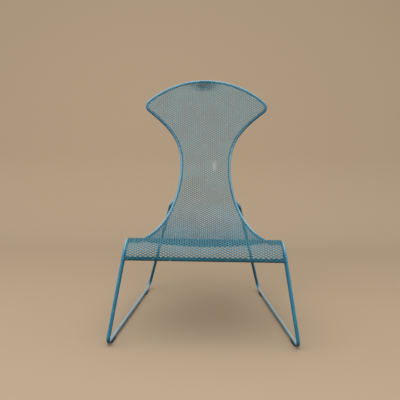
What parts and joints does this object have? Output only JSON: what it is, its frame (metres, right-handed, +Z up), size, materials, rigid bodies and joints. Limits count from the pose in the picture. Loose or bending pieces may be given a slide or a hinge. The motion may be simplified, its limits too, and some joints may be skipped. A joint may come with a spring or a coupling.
{
  "type": "mesh lounge chair",
  "caption": "Low weathered lounge chair: bent steel rod frame on sled runners, with an hourglass back, sloping seat and short front apron of painted expanded-metal mesh.",
  "frame": {"origin": "on the floor, under the centre of the chair's bounding box", "axes": "+Z up, the sitter faces -Y, +X to the right as seen from the front"},
  "size_m": [0.6202, 0.6566, 0.9211],
  "materials": {
    "blue_paint": "dull, faded blue brush-coat paint on steel, worn and a little rusty at welds and feet",
    "black_rubber": "matt black moulded rubber, dusty"
  },
  "bodies": {
    "root": {"mesh_shell": "blue_paint", "front_bar": "blue_paint", "left_frame_rod": "blue_paint", "right_frame_rod": "blue_paint", "front_left_glide": "black_rubber", "rear_left_glide": "black_rubber", "front_right_glide": "black_rubber", "rear_right_glide": "black_rubber"}
  },
  "joints": []
}
